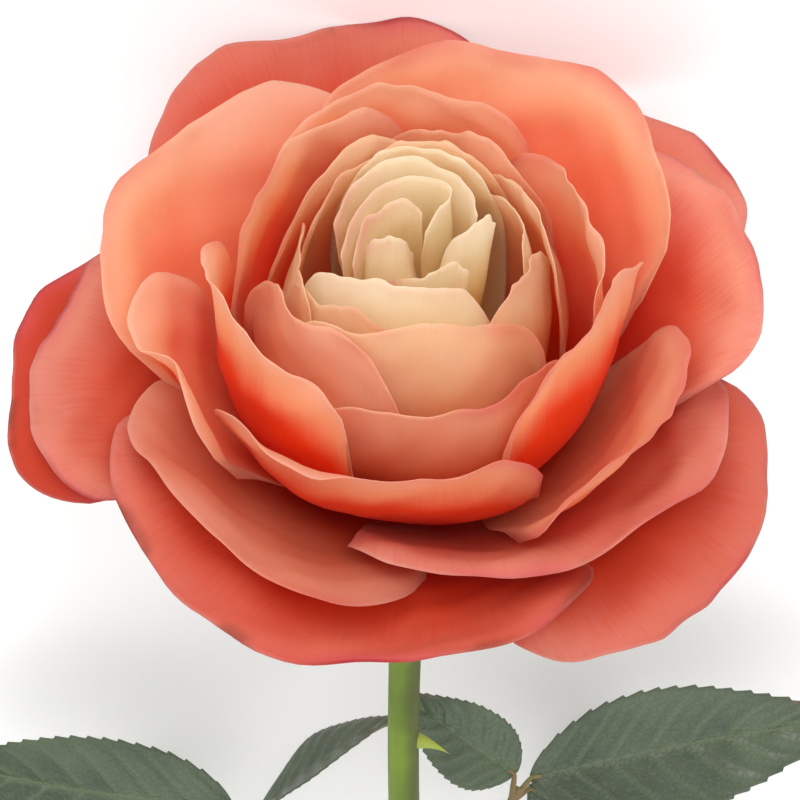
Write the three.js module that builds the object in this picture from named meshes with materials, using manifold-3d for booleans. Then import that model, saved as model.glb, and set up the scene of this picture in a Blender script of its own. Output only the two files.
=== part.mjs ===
// A cut garden rose lying on its side: an open bloom of many nested petals, its calyx and sepals,
// a prickly stem and three compound leaves. Millimetres, +Z up, resting on Z = 0.
import * as THREE from "three";
import { mergeVertices } from "three/addons/utils/BufferGeometryUtils.js";
import Module from "manifold-3d";

// The bloom and stem are drawn upright about the stem, then the whole is laid back by this angle,
// so that it rests on its back petals, the tips of its lower leaflets and the cut end of the stem.
const REST_TILT = 8.5;
const STEM_LENGTH = 338;
const STEM_RADIUS = 2.35;
const HIP_BOTTOM = -13;
const PETAL_THICKNESS = 0.42;
const LEAF_THICKNESS = 0.4;
// Height above the table of the point where the bloom meets its calyx.
const TABLE_DROP = 52.6;

// Petal profiles: the angle above level of the foot, belly and tip of a petal, by its level in the
// bloom (0 at the heart, 1 at the guard petals). Back petals stand more upright by the last row.
const LEVELS = [-0.2, 0, 0.27, 0.56, 0.79, 0.94, 1.1, 1.25];
const FOOT_ANGLE = [84, 80, 40, 30, 27, 23, 17, 12];
const BELLY_ANGLE = [92, 90, 70, 61, 45, 30, 17, 8];
const TIP_ANGLE = [90, 92, 106, 108, 88, 40, -15, -40];
const BACK_LIFT = [0, 0, 0, 3, 10, 20, 27, 30];
// Arc length over which the foot bends into the belly, and then the belly into the tip.
const FOOT_RUN = 16;
const TIP_RUN = 30;
const PROFILE_STEPS = 32;
// Receptacle under the feet of the petals: radius at the heart, growth to the guard petals, height.
const FOOT_START = 1.2;
const FOOT_SPREAD = 6.6;
const FOOT_DOME = 6;
// How far the corners of a petal fall short of its middle, the dip in its rim and the width of
// that dip, and the width of its claw, each as a share of the petal.
const CORNER_DROP = 0.35;
const RIM_DIP = 0.02;
const DIP_WIDTH = 0.18;
const CLAW_WIDTH = 0.3;

// Petals from the outside in: azimuth of the middle and half width in degrees, level, length.
// skew lengthens the side of growing azimuth, lean opens that side.
const PETALS = [
  { at: 106, half: 36, level: 1.04, long: 63 },
  { at: 54, half: 26, level: 1.10, long: 61.15 },
  { at: 165, half: 32, level: 1.15, long: 54 },
  { at: 327, half: 40, level: 1.12, long: 45.5, skew: 0.09 },
  { at: 247, half: 64, level: 1.03, long: 44.5, skew: -0.01 },
  { at: 167, half: 34, level: 1.09, long: 51 },
  { at: 26, half: 35, level: 0.975, long: 54.5 },
  { at: 226, half: 46, level: 0.95, long: 43.5 },
  { at: 313, half: 62, level: 0.96, long: 42, lean: 0.09, skew: 0.08 },
  { at: 64, half: 54, level: 0.87, long: 61 },
  { at: 143, half: 45, level: 0.93, long: 56 },
  { at: 192, half: 28, level: 0.86, long: 50 },
  { at: 256, half: 48, level: 0.82, long: 47.5 },
  { at: 95, half: 48, level: 0.785, long: 60 },
  { at: 332, half: 36, level: 0.885, long: 46 },
  { at: 208, half: 44, level: 0.77, long: 55 },
  { at: 18, half: 44, level: 0.715, long: 54 },
  { at: 135, half: 48, level: 0.71, long: 58 },
  { at: 287, half: 64, level: 0.655, long: 43.5 },
  { at: 68, half: 40, level: 0.63, long: 56 },
  { at: 332, half: 38, level: 0.775, long: 54, lean: 0.045 },
  { at: 128, half: 48, level: 0.58, long: 55 },
  { at: 224, half: 42, level: 0.605, long: 50 },
  { at: 25, half: 40, level: 0.57, long: 52 },
  { at: 82, half: 43, level: 0.48, long: 55 },
  { at: 268, half: 60, level: 0.54, long: 50 },
  { at: 189, half: 42, level: 0.455, long: 49 },
  { at: 232, half: 44, level: 0.39, long: 47 },
  { at: 330, half: 44, level: 0.44, long: 48 },
  { at: 140, half: 44, level: 0.365, long: 51 },
  { at: 15, half: 44, level: 0.34, long: 49 },
  { at: 88, half: 52, level: 0.27, long: 52 },
  { at: 255, half: 62, level: 0.29, long: 50 },
];

// Heart petals: cones from one point deep in the bloom over curves drawn in plan at the rim.
// Each has its plan curve and the heights of its rim along that curve.
const HEART_APEX = -10;
const HEART_PLANE = 44;
const HEART_FOOT = 8;
const HEART_PETALS = [
  {
    plan: [[-11.4, 1], [-9.2, 5.4], [-5.6, 8.4], [0.2, 10], [4.8, 8.6], [7.8, 6.6], [8.2, 3.2]],
    rim: [49, 51, 52, 52, 51, 50, 48],
  },
  {
    plan: [
      [-10.8, -3.6], [-9, 0.5], [-6.2, 4.2], [-2, 6.6], [2.2, 7.6], [4.7, 6.9], [5.1, 5.2], [3.4, 2.4],
      [1.4, -0.6],
    ],
    rim: [47, 50, 51, 51.5, 51, 50.5, 50, 49.5, 48],
  },
  {
    plan: [[-9.4, -4.8], [-7.2, 0.2], [-4.4, 2.4], [-0.8, 3.6], [1.4, 2.8]],
    rim: [46, 50, 51, 51, 49],
  },
  {
    plan: [[-7.8, -5.2], [-5.7, -1.6], [-3.2, -0.3], [-0.8, -1.8], [0.8, -5]],
    rim: [46, 50, 51.5, 49.5, 45],
  },
  {
    plan: [[3.2, -5], [5, -1.2], [7.2, 0.9], [9.6, 1.6], [10.8, -0.8], [10.7, -4.6]],
    rim: [45, 50, 52, 53, 51, 47],
  },
  {
    plan: [[-5.6, -8], [-1.5, -8.6], [2.6, -7.4], [6, -6.2], [9.4, -6.8]],
    rim: [44, 46, 47, 47.5, 46],
  },
];

const rad = THREE.MathUtils.degToRad;
const vec = (x, y, z) => new THREE.Vector3(x, y, z);

function smooth(x) {
  const c = THREE.MathUtils.clamp(x, 0, 1);
  return c * c * (3 - 2 * c);
}

function interpolate(level, row) {
  const c = THREE.MathUtils.clamp(level, LEVELS[0], LEVELS[LEVELS.length - 1]);
  let i = 0;
  while (i < LEVELS.length - 2 && c > LEVELS[i + 1]) i += 1;
  return THREE.MathUtils.lerp(row[i], row[i + 1], (c - LEVELS[i]) / (LEVELS[i + 1] - LEVELS[i]));
}

// The foot of a petal on the dome of the receptacle.
function footRadius(level) {
  return FOOT_START + FOOT_SPREAD * Math.max(level, 0) ** 0.8;
}

function footHeight(level) {
  return FOOT_DOME * (1.1 - level);
}

// Point of the bloom at a level, an azimuth and an arc length up the petal.
function bloomPoint(level, azimuth, along) {
  const back = (interpolate(level, BACK_LIFT) * (1 + Math.sin(azimuth))) / 2;
  const foot = interpolate(level, FOOT_ANGLE) + 0.3 * back;
  const belly = interpolate(level, BELLY_ANGLE) + back;
  const tip = interpolate(level, TIP_ANGLE) + back;
  const step = along / PROFILE_STEPS;
  let r = footRadius(level);
  let z = footHeight(level);
  for (let i = 0; i < PROFILE_STEPS; i += 1) {
    const q = step * (i + 0.5);
    const bent = foot + (belly - foot) * smooth(q / FOOT_RUN);
    const a = rad(bent + (tip - belly) * smooth((q - FOOT_RUN) / TIP_RUN));
    r += Math.cos(a) * step;
    z += Math.sin(a) * step;
  }
  return vec(r * Math.cos(azimuth), r * Math.sin(azimuth), z);
}

function petalPoint(petal, u, v) {
  const { at, half, level, long, skew = 0, lean = 0 } = petal;
  const corner = 1 - CORNER_DROP * (1 - Math.cbrt(1 - 0.999 * Math.abs(u) ** 3));
  const dip = 1 - RIM_DIP * Math.exp(-((u / DIP_WIDTH) ** 2));
  const rim = long * corner * (1 + skew * u) * dip;
  const width = CLAW_WIDTH + (1 - CLAW_WIDTH) * Math.sin((Math.PI / 2) * Math.min(1.35 * v, 1)) ** 1.2;
  const azimuth = rad(at + half * width * u);
  return bloomPoint(level + lean * u, azimuth, v * rim);
}

function planCurve(points) {
  return new THREE.CatmullRomCurve3(points.map(([x, y]) => vec(x, y, 0)));
}

function heartPoint(petal, curve, u, v) {
  const width = 0.35 + 0.65 * smooth(1.4 * v);
  const w = 0.5 + 0.5 * u * width;
  const plan = curve.getPoint(w);
  const i = Math.min(Math.floor(w * (petal.rim.length - 1)), petal.rim.length - 2);
  const rim = THREE.MathUtils.lerp(petal.rim[i], petal.rim[i + 1], w * (petal.rim.length - 1) - i);
  const z = THREE.MathUtils.lerp(HEART_FOOT, rim, v);
  const scale = (z - HEART_APEX) / (HEART_PLANE - HEART_APEX);
  return vec(plan.x * scale, plan.y * scale, z);
}

// A closed skin of even thickness about a sheet given by pointAt(u, v), u in -1..1, v in 0..1.
function sheetGeometry(pointAt, cellsU, cellsV, thickness) {
  const positions = [];
  const index = [];
  const rows = cellsV + 1;
  const columns = cellsU + 1;
  const side = rows * columns;
  const uAt = (i) => (2 * i) / cellsU - 1;
  for (const half of [0.5, -0.5]) {
    for (let j = 0; j < rows; j += 1) {
      for (let i = 0; i < columns; i += 1) {
        const u = uAt(i);
        const v = j / cellsV;
        const p = pointAt(u, v);
        const du = pointAt(Math.min(u + 0.02, 1), v).sub(pointAt(Math.max(u - 0.02, -1), v));
        const dv = pointAt(u, Math.min(v + 0.02, 1)).sub(pointAt(u, Math.max(v - 0.02, 0)));
        p.addScaledVector(du.cross(dv).normalize(), thickness(v) * half);
        positions.push(p.x, p.y, p.z);
      }
    }
  }
  const at = (i, j) => j * columns + i;
  for (let j = 0; j < cellsV; j += 1) {
    for (let i = 0; i < cellsU; i += 1) {
      const [a, b, c, d] = [at(i, j), at(i + 1, j), at(i + 1, j + 1), at(i, j + 1)];
      index.push(a, b, c, a, c, d);
      index.push(side + a, side + c, side + b, side + a, side + d, side + c);
    }
  }
  const border = [];
  for (let i = 0; i < cellsU; i += 1) border.push(at(i, 0));
  for (let j = 0; j < cellsV; j += 1) border.push(at(cellsU, j));
  for (let i = cellsU; i > 0; i -= 1) border.push(at(i, cellsV));
  for (let j = cellsV; j > 0; j -= 1) border.push(at(0, j));
  border.forEach((a, k) => {
    const b = border[(k + 1) % border.length];
    index.push(a, side + a, side + b, a, side + b, b);
  });
  const geometry = new THREE.BufferGeometry();
  geometry.setAttribute("position", new THREE.Float32BufferAttribute(positions, 3));
  geometry.setIndex(index);
  return geometry;
}

// A round rod along a curve, with a radius that changes along it and closed ends.
function rodGeometry(curve, radiusAt, cells, sides) {
  const frames = curve.computeFrenetFrames(cells, false);
  const positions = [];
  const index = [];
  for (let k = 0; k <= cells; k += 1) {
    const centre = curve.getPointAt(k / cells);
    for (let s = 0; s < sides; s += 1) {
      const turn = (2 * Math.PI * s) / sides;
      const p = centre.clone();
      p.addScaledVector(frames.normals[k], Math.cos(turn) * radiusAt(k / cells));
      p.addScaledVector(frames.binormals[k], Math.sin(turn) * radiusAt(k / cells));
      positions.push(p.x, p.y, p.z);
    }
  }
  for (let k = 0; k < cells; k += 1) {
    for (let s = 0; s < sides; s += 1) {
      const a = k * sides + s;
      const b = k * sides + ((s + 1) % sides);
      index.push(a, b, b + sides, a, b + sides, a + sides);
    }
  }
  const last = cells * sides;
  for (let s = 1; s < sides - 1; s += 1) {
    index.push(0, s + 1, s);
    index.push(last, last + s, last + s + 1);
  }
  const geometry = new THREE.BufferGeometry();
  geometry.setAttribute("position", new THREE.Float32BufferAttribute(positions, 3));
  geometry.setIndex(index);
  return geometry;
}

const wasm = await Module();
wasm.setup();

function solidOf(geometry) {
  const bare = geometry.clone();
  bare.deleteAttribute("normal");
  bare.deleteAttribute("uv");
  const merged = mergeVertices(bare, 1e-4);
  return new wasm.Manifold(new wasm.Mesh({
    numProp: 3,
    vertProperties: new Float32Array(merged.attributes.position.array),
    triVerts: new Uint32Array(merged.index.array),
  }));
}

function geometryOf(solid) {
  const mesh = solid.getMesh();
  const geometry = new THREE.BufferGeometry();
  geometry.setAttribute("position", new THREE.BufferAttribute(mesh.vertProperties, 3));
  geometry.setIndex(new THREE.BufferAttribute(mesh.triVerts, 1));
  return geometry;
}

const group = new THREE.Group();
const upright = new THREE.Group();
upright.rotation.x = -rad(90 - REST_TILT);
upright.position.z = TABLE_DROP;
group.add(upright);

function finish(color, roughness) {
  return new THREE.MeshStandardMaterial({ color, roughness, metalness: 0 });
}

function place(parent, name, geometry, material) {
  const mesh = new THREE.Mesh(geometry, material);
  mesh.name = name;
  parent.add(mesh);
}

const CORAL = new THREE.Color(0xd9563c);
const PEACH = new THREE.Color(0xf6c39a);
PETALS.forEach((petal, k) => {
  const thickness = (v) => PETAL_THICKNESS * (0.7 + 0.3 * v);
  const skin = sheetGeometry((u, v) => petalPoint(petal, u, v), 8, 9, thickness);
  const color = CORAL.clone().lerp(PEACH, k / PETALS.length);
  place(upright, `petal_${String(k + 1).padStart(2, "0")}`, skin, finish(color, 0.55));
});

HEART_PETALS.forEach((petal, k) => {
  const curve = planCurve(petal.plan);
  const cells = 3 * petal.plan.length - 3;
  const skin = sheetGeometry((u, v) => heartPoint(petal, curve, u, v), cells, 3, () => PETAL_THICKNESS);
  place(upright, `heart_petal_${k + 1}`, skin, finish(0xf7d9a6, 0.55));
});

// The receptacle and hip under the petals.
const HIP_PROFILE = [
  [0, HIP_BOTTOM], [2.6, HIP_BOTTOM], [3.6, -11.6], [5.6, -9], [7.2, -6], [8, -3.2], [8.4, -1.6],
  [8.3, -1.2], [7, 0.6], [5, 2.4], [3, 3.8], [1.4, 4.6], [0, 4.8],
];
const hip = new THREE.LatheGeometry(HIP_PROFILE.map(([r, z]) => new THREE.Vector2(r, z)), 16);
hip.rotateX(Math.PI / 2);
place(upright, "hip", hip, finish(0x6f8a4a, 0.5));

// Sepals bent down under the guard petals, each a leafy blade drawn out to a thin tip.
// Each has its azimuth in degrees and its length.
const SEPALS = [[214, 30], [292, 22], [0, 34], [72, 34], [146, 34]];
const LONGEST_SEPAL = 34;
const CALYX_RADIUS = 8.9;
const CALYX_HEIGHT = -2.2;

function sepalPoint(azimuth, long, u, v) {
  const reach = CALYX_RADIUS + long * 0.86 * v;
  const sag = (long / LONGEST_SEPAL) * (7 * Math.sin(Math.PI * v * 0.62) + 3 * v * v);
  const width = 0.6 + 3.4 * Math.sin(Math.PI * Math.min(v + 0.18, 1)) ** 1.1 * (1 - 0.35 * v);
  const across = u * width;
  const out = vec(Math.cos(azimuth), Math.sin(azimuth), 0);
  const side = vec(-Math.sin(azimuth), Math.cos(azimuth), 0);
  const p = out.multiplyScalar(reach).addScaledVector(side, across);
  p.z = CALYX_HEIGHT - sag - 0.05 * across * across;
  return p;
}

SEPALS.forEach(([azimuth, long], k) => {
  const skin = sheetGeometry((u, v) => sepalPoint(rad(azimuth), long, u, v), 3, 7, () => LEAF_THICKNESS);
  place(upright, `sepal_${k + 1}`, skin, finish(0x6f8a4a, 0.6));
});

// The stem, from under the hip to its cut end, with slight bends and hooked prickles.
const stemCurve = new THREE.CatmullRomCurve3([
  vec(0, 0, HIP_BOTTOM - 0.3), vec(-1.2, 0, -32), vec(-1.6, 0, -66), vec(-0.6, -0.6, -110),
  vec(0.8, 0.4, -160), vec(-0.4, 0.3, -215), vec(0.6, -0.3, -270), vec(0, 0, -STEM_LENGTH),
]);
const stemRadius = (w) => STEM_RADIUS * (1 + 0.12 * w + 0.1 * Math.exp(-((w / 0.02) ** 2)));
const stemTube = rodGeometry(stemCurve, stemRadius, 36, 14);
// Height down the stem, azimuth and length of each prickle, and the radii of a prickle's root and tip.
const PRICKLES = [
  [58, 352, 6], [104, 160, 6.5], [142, 20, 7], [171, 250, 6], [214, 130, 7], [246, 330, 6.5], [283, 60, 6],
];
const PRICKLE_ROOT = 1.9;
const PRICKLE_TIP = 0.12;

function prickleGeometry([down, azimuth, long]) {
  const w = (down + HIP_BOTTOM) / (STEM_LENGTH + HIP_BOTTOM);
  const root = stemCurve.getPointAt(w);
  const out = vec(Math.cos(rad(azimuth)), Math.sin(rad(azimuth)), 0);
  const curve = new THREE.QuadraticBezierCurve3(
    root.clone().addScaledVector(out, STEM_RADIUS * 0.5),
    root.clone().addScaledVector(out, STEM_RADIUS + 0.45 * long),
    root.clone().addScaledVector(out, STEM_RADIUS + 0.85 * long).add(vec(0, 0, -0.42 * long)),
  );
  return rodGeometry(curve, (t) => PRICKLE_ROOT * (1 - t) ** 1.3 + PRICKLE_TIP, 5, 8);
}
let stem = solidOf(stemTube);
PRICKLES.forEach((prickle) => {
  stem = stem.add(solidOf(prickleGeometry(prickle)));
});
place(upright, "stem", geometryOf(stem), finish(0x8fa04a, 0.5));

// Leaves, drawn on the table: a stalk from near the stem and leaflets about its joints.
// A leaflet runs from its base to its tip; lift is the direction its upper face looks.
const LEAVES = [
  {
    name: "leaf_right",
    stalk: [[3.0, -112, 37.5], [8.5, -100, 30], [16.8, -85.4, 22.8]],
    leaflets: [
      { base: [18.8, -84.1, 22], tip: [69, -76, 17], lift: [0, 0.35, 1], half: 11.5, droop: -3 },
      { base: [16, -82.6, 22.8], tip: [-2, -62.4, 27], lift: [0.3, 0.3, 1], half: 6.5, droop: 2 },
      { base: [18.6, -86.8, 21.4], tip: [34.4, -111, 9], lift: [0.5, 0.5, 1], half: 8.5, droop: 2 },
    ],
  },
  {
    name: "leaf_left",
    stalk: [[-4.4, -136, 33.5], [-12, -118, 27], [-26.4, -95.4, 21.8]],
    leaflets: [
      { base: [-29.0, -90.5, 21.6], tip: [-75.5, -88.5, 13], lift: [-0.1, 0.3, 1], half: 11, droop: 4 },
      { base: [-25.2, -91.6, 22.6], tip: [-3, -65, 30], lift: [-0.8, 0.35, -0.25], half: 7, droop: 2 },
      { base: [-28.6, -97.4, 21.0], tip: [-57, -135, 0.4], lift: [-0.5, 0.4, 1], half: 9.5, droop: 4 },
    ],
  },
  {
    name: "leaf_low",
    stalk: [[4.4, -205, 21.6], [22, -194, 15], [52, -182, 9]],
    leaflets: [
      { base: [54.5, -181.4, 8.6], tip: [98, -168, 0.4], lift: [0.2, 0, 1], half: 12, droop: 3 },
      { base: [50.4, -179.4, 9.6], tip: [58, -140, 6], lift: [0, 0.2, 1], half: 10, droop: 3 },
      { base: [52.2, -184.4, 8.4], tip: [74, -218, 3], lift: [0, -0.2, 1], half: 10, droop: 3 },
      { base: [22.4, -191.2, 15.4], tip: [25, -158, 12], lift: [0, 0.2, 1], half: 8, droop: 3 },
      { base: [24, -196.4, 14.2], tip: [34, -228, 8], lift: [0, -0.2, 1], half: 8, droop: 3 },
    ],
  },
];
const STALK_BASE = 1.05;
const STALK_TAPER = 0.45;

// The blade folds up from its midrib by this slope.
const LEAFLET_FOLD = 0.2;

function leafletPoint({ base, tip, lift, half, droop }, u, v) {
  const from = vec(...base);
  const along = vec(...tip).sub(from);
  const across = along.clone().normalize().cross(vec(...lift)).normalize().negate();
  const up = across.clone().cross(along).normalize().negate();
  const width = 0.35 + half * Math.sin(Math.PI * v ** 0.8) ** 0.85 * (1 - 0.15 * v);
  const p = from.addScaledVector(along, v);
  p.addScaledVector(across, u * width);
  return p.addScaledVector(up, LEAFLET_FOLD * Math.abs(u) * width + droop * Math.sin(Math.PI * v) * 0.6);
}

LEAVES.forEach(({ name, stalk, leaflets }) => {
  const curve = new THREE.CatmullRomCurve3(stalk.map((p) => vec(...p)));
  const rod = rodGeometry(curve, (t) => STALK_BASE - STALK_TAPER * t, 8, 8);
  place(group, `${name}_stalk`, rod, finish(0x77894f, 0.5));
  leaflets.forEach((leaflet, k) => {
    const skin = sheetGeometry((u, v) => leafletPoint(leaflet, u, v), 4, 7, () => LEAF_THICKNESS);
    place(group, `${name}_leaflet_${k + 1}`, skin, finish(0x4d6349, 0.45));
  });
});

// The origin sits on the surface, under the middle of the rose's box.
group.updateMatrixWorld(true);
const bounds = new THREE.Box3().setFromObject(group, true);
const middle = bounds.getCenter(vec(0, 0, 0));
group.position.set(-middle.x, -middle.y, -bounds.min.z);

export default group;
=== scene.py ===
"""A cut garden rose lying on its side: petals, calyx, prickly stem and compound leaves, over its CAD frame."""
import bpy
import math
import numpy as np
from mathutils import Matrix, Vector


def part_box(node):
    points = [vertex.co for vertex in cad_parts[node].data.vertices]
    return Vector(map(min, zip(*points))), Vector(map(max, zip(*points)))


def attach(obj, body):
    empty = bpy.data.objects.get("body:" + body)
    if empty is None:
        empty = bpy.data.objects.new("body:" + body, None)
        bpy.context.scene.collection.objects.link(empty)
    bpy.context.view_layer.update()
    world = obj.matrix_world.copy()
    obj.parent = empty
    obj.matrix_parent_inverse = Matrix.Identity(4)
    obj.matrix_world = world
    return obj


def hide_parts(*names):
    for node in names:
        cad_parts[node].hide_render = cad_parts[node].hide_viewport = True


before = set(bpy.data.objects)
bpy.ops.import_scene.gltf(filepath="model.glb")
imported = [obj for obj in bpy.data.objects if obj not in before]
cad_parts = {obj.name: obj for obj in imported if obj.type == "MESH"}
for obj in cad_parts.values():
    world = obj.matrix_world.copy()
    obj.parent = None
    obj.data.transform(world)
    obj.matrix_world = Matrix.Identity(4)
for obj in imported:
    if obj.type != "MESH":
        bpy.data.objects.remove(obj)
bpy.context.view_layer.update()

MM = 0.001
REST_TILT = math.radians(8.5)
TABLE_DROP = 52.6
STEM_LENGTH = 338
STEM_RADIUS = 2.35
HIP_BOTTOM = -13
LIMB_THICKNESS = 0.34
RIM_THICKNESS = 0.13
HALF_TURN = math.pi


# ---------------------------------------------------------------- places

def smooth(x):
    c = np.clip(x, 0, 1)
    return c * c * (3 - 2 * c)


def lay_back(points):
    """Upright rose, stem down, to the rose lying on the table, in millimetres."""
    p = np.asarray(points, float)
    s, c = math.sin(REST_TILT), math.cos(REST_TILT)
    y = p[..., 1] * s + p[..., 2] * c
    z = -p[..., 1] * c + p[..., 2] * s + TABLE_DROP
    return np.stack([p[..., 0], y, z], -1)


HIP_PROFILE = [
    (0, -13), (2.6, -13), (3.6, -11.6), (5.6, -9), (7.2, -6), (8, -3.2), (8.4, -1.6),
    (8.3, -1.2), (7, 0.6), (5, 2.4), (3, 3.8), (1.4, 4.6), (0, 4.8),
]
turns = np.arange(16) * HALF_TURN / 8
hip_ring = np.array([(r * math.sin(a), -r * math.cos(a), z) for r, z in HIP_PROFILE for a in turns])
SHIFT = np.array(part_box("hip")[0]) / MM - lay_back(hip_ring).min(0)
TABLE_UP = np.array([0, -math.cos(REST_TILT), math.sin(REST_TILT)])


def on_table(points):
    """Table millimetres to metres in the frame of the CAD model."""
    return (np.asarray(points, float) + SHIFT) * MM


def bloom_to_world(points):
    return on_table(lay_back(points))


# ---------------------------------------------------------------- camera, floor and light

ASKEW = math.radians(45) - REST_TILT
BACKWARD = np.array([0, math.sin(ASKEW), math.cos(ASKEW)])
UPWARD = np.array([0, math.cos(ASKEW), -math.sin(ASKEW)])
SIDEWAYS = np.array([1.0, 0, 0])


def aim(thing, place, back, up):
    """Puts a thing at a place, its own Z along back and its own Y along up."""
    right = np.cross(up, back)
    matrix = np.eye(4)
    matrix[:3, 0] = right / np.linalg.norm(right)
    matrix[:3, 1] = up
    matrix[:3, 2] = back
    matrix[:3, 3] = place
    thing.matrix_world = Matrix(matrix.tolist())


BLOOM_MIDDLE = (0, 0, 22)
VIEW_ASIDE = 2.13
VIEW_BELOW = 4.83
LENS = 237.6
CAMERA_DISTANCE = 0.75

centre = bloom_to_world([BLOOM_MIDDLE])[0] - SIDEWAYS * VIEW_ASIDE * MM - UPWARD * VIEW_BELOW * MM
camera_data = bpy.data.cameras.new("camera")
camera_data.sensor_width = 36
camera_data.lens = LENS
camera_data.clip_start = 0.01
camera = bpy.data.objects.new("camera", camera_data)
bpy.context.collection.objects.link(camera)
aim(camera, centre + BACKWARD * CAMERA_DISTANCE, BACKWARD, UPWARD)
bpy.context.scene.camera = camera


def lamp(name, direction, distance, size, watts):
    """A round soft lamp that shines at the bloom from a direction."""
    data = bpy.data.lights.new(name, "AREA")
    data.shape = "DISK"
    data.size = size
    data.energy = watts
    light = bpy.data.objects.new(name, data)
    bpy.context.collection.objects.link(light)
    back = np.array(direction, float)
    back /= np.linalg.norm(back)
    up = np.cross(back, (1, 0, 0))
    aim(light, centre + back * distance, back, up / np.linalg.norm(up))


lamp("key", (-0.2, 0.95, 0.36), 1.3, 0.8, 5)
lamp("fill", (0.1, 0.72, 0.7), 1.6, 0.5, 5.4)
lamp("low", (0.1, -0.6, 0.9), 1.5, 1.4, 4)

world = bpy.data.worlds.new("studio")
bpy.context.scene.world = world
world.use_nodes = True
world.node_tree.nodes["Background"].inputs["Color"].default_value = (1, 1, 1, 1)
world.node_tree.nodes["Background"].inputs["Strength"].default_value = 1.0
bpy.context.scene.view_settings.view_transform = "Standard"


# ---------------------------------------------------------------- shader words

class Wire:
    """A socket of one material, with Python's arithmetic on it."""

    def __init__(self, shader, socket):
        self.shader = shader
        self.socket = socket

    def join(self, operation, *others):
        return self.shader.node("ShaderNodeMath", {"operation": operation}, [self, *others])

    def __add__(self, other):
        return self.join("ADD", other)

    def __sub__(self, other):
        return self.join("SUBTRACT", other)

    def __mul__(self, other):
        return self.join("MULTIPLY", other)

    def __rsub__(self, other):
        return self.shader.node("ShaderNodeMath", {"operation": "SUBTRACT"}, [other, self])

    __radd__ = __add__
    __rmul__ = __mul__

    def ramp_between(self, low, high):
        """0 at low and 1 at high, eased."""
        settings = {"interpolation_type": "SMOOTHSTEP"}
        return self.shader.node("ShaderNodeMapRange", settings, {0: self, 1: low, 2: high, 3: 0.0, 4: 1.0})


class Shader:
    """One material and the words that build it."""

    def __init__(self, name):
        self.material = bpy.data.materials.new(name)
        self.material.use_nodes = True
        self.tree = self.material.node_tree
        self.tree.nodes.clear()

    def node(self, kind, settings=None, inputs=None, out=0):
        """A node with its settings set first, then its sockets by number or by name."""
        made = self.tree.nodes.new(kind)
        for key, value in (settings or {}).items():
            setattr(made, key, value)
        pairs = enumerate(inputs) if isinstance(inputs, (list, tuple)) else (inputs or {}).items()
        for key, value in pairs:
            socket = made.inputs[key]
            if isinstance(value, Wire):
                self.tree.links.new(value.socket, socket)
            elif socket.type == "RGBA":
                socket.default_value = (*value[:3], 1)
            else:
                socket.default_value = value
        return Wire(self, made.outputs[out])

    def value(self, name):
        """A number carried by every point of the piece."""
        return self.node("ShaderNodeAttribute", {"attribute_name": name}, out="Fac")

    def mix(self, factor, a, b):
        return self.node("ShaderNodeMix", {"data_type": "RGBA"}, {0: factor, 6: a, 7: b}, out=2)

    def place(self):
        return self.node("ShaderNodeTexCoord", out="Object")

    def uv(self):
        return self.node("ShaderNodeUVMap", {"uv_map": "flat"})

    def scaled(self, vector, scale):
        return self.node("ShaderNodeMapping", {}, {"Vector": vector, "Scale": scale})

    def noise(self, vector, scale, detail):
        inputs = {"Vector": vector, "Scale": scale, "Detail": detail, "Roughness": 0.55}
        return self.node("ShaderNodeTexNoise", {}, inputs)

    def glow(self, colour, normal):
        """Light that passes through a thin blade, of one colour."""
        return self.node("ShaderNodeBsdfTranslucent", {}, {"Color": colour, "Normal": normal})

    def bump(self, height, distance, strength):
        inputs = {"Strength": strength, "Distance": distance, "Height": height}
        return self.node("ShaderNodeBump", {}, inputs)

    def finish(self, surface):
        output = self.tree.nodes.new("ShaderNodeOutputMaterial")
        self.tree.links.new(surface.socket, output.inputs["Surface"])
        return self.material


# Deep coral of the outer petals, also used as painted shade on a petal that lies in shadow.
DEEP_CORAL_AND_SHADE = (0.62, 0.048, 0.012)
BLUSH = (0.92, 0.52, 0.42)
AMBER = (0.93, 0.55, 0.32)
RUSSET = (0.84, 0.40, 0.24)
ROSE_PINK = (0.72, 0.11, 0.14)
PALE_EDGE = (0.96, 0.66, 0.54)
CRIMSON_EDGE = (0.34, 0.02, 0.03)
BRUISE = (0.16, 0.05, 0.025)
LEAF_EDGE = (0.16, 0.10, 0.06)


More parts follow.
